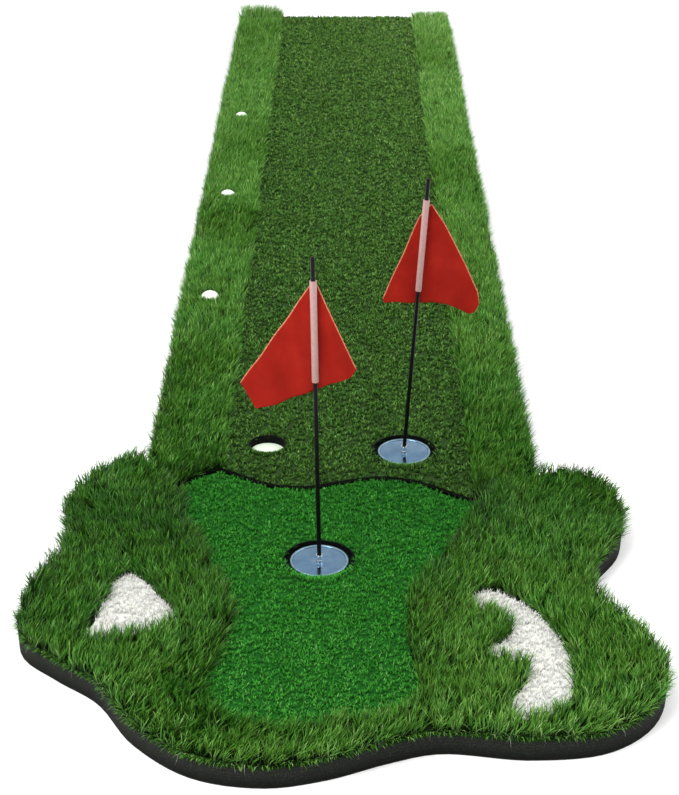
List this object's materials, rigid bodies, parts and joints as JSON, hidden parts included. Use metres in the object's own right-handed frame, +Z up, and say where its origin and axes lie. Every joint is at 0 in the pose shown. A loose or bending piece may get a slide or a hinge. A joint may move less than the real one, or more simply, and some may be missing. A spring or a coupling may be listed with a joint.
{
  "type": "practice putting mat",
  "caption": "Long indoor putting mat with a free-form green head, long-grass borders, white bunker insets, cups, loose pennant flagsticks and parked balls.",
  "frame": {"origin": "on the floor under the middle of the mat's footprint", "axes": "+Z up, +Y along the fairway away from the head, +X to the right seen from the head end"},
  "size_m": [0.9414, 3.776, 0.548],
  "materials": {
    "underlay": "matte ribbed",
    "foam": "matte closed-cell foam",
    "edging": "matte",
    "fairway_pile": "short curly synthetic pile",
    "rough_pile": "long synthetic grass blades",
    "green_pile": "short dense synthetic pile",
    "bunker_pile": "white synthetic pile",
    "cup_black": "matte moulded",
    "insert_white": "matte moulded",
    "ball_white": "glossy dimpled",
    "base_metal": "polished",
    "ferrule_metal": "polished",
    "pole_black": "satin black",
    "sleeve_white": "semi-gloss",
    "pennant": "plain woven red"
  },
  "bodies": {
    "mat": {"strip_underlay": "underlay", "strip_foam_base": "foam", "fairway_turf": "fairway_pile", "rough_turf_left": "rough_pile", "rough_turf_right": "rough_pile", "head_underlay": "underlay", "head_foam_base": "foam", "head_rough_turf": "rough_pile", "green_turf": "green_pile", "bunker_left": "bunker_pile", "bunker_right": "bunker_pile", "seam_edging": "edging", "front_cup_liner": "cup_black", "rear_cup_liner": "cup_black", "practice_hole_liner": "cup_black", "practice_hole_floor": "insert_white"},
    "front_flagstick": {"front_flag_base": "base_metal", "front_flag_ferrule": "ferrule_metal", "front_flag_pole": "pole_black"},
    "front_pennant": {"front_flag_sleeve": "sleeve_white", "front_flag_cloth": "pennant"},
    "rear_flagstick": {"rear_flag_base": "base_metal", "rear_flag_ferrule": "ferrule_metal", "rear_flag_pole": "pole_black"},
    "rear_pennant": {"rear_flag_sleeve": "sleeve_white", "rear_flag_cloth": "pennant"},
    "ball_1": {"golf_ball_1": "ball_white"},
    "ball_2": {"golf_ball_2": "ball_white"},
    "ball_3": {"golf_ball_3": "ball_white"}
  },
  "joints": [
    {"name": "front_flagstick_lift", "type": "slide", "parent": "mat", "child": "front_flagstick", "axis": [0, 0, 1], "range_m": [0, 0.12]},
    {"name": "front_pennant_spin", "type": "hinge", "parent": "front_flagstick", "child": "front_pennant", "pos_m": [-0.0264, -1.3905, 0.04555], "axis": [-0.014, 0, 0.9999], "continuous": true},
    {"name": "rear_flagstick_lift", "type": "slide", "parent": "mat", "child": "rear_flagstick", "axis": [0, 0, 1], "range_m": [0, 0.12]},
    {"name": "rear_pennant_spin", "type": "hinge", "parent": "rear_flagstick", "child": "rear_pennant", "pos_m": [0.1156, -1.0365, 0.04555], "axis": [0.0593, -0.0435, 0.9973], "continuous": true},
    {"name": "ball_1_lift", "type": "slide", "parent": "mat", "child": "ball_1", "axis": [0, 0, 1], "range_m": [0, 0.08]},
    {"name": "ball_2_lift", "type": "slide", "parent": "mat", "child": "ball_2", "axis": [0, 0, 1], "range_m": [0, 0.08]},
    {"name": "ball_3_lift", "type": "slide", "parent": "mat", "child": "ball_3", "axis": [0, 0, 1], "range_m": [0, 0.08]}
  ]
}
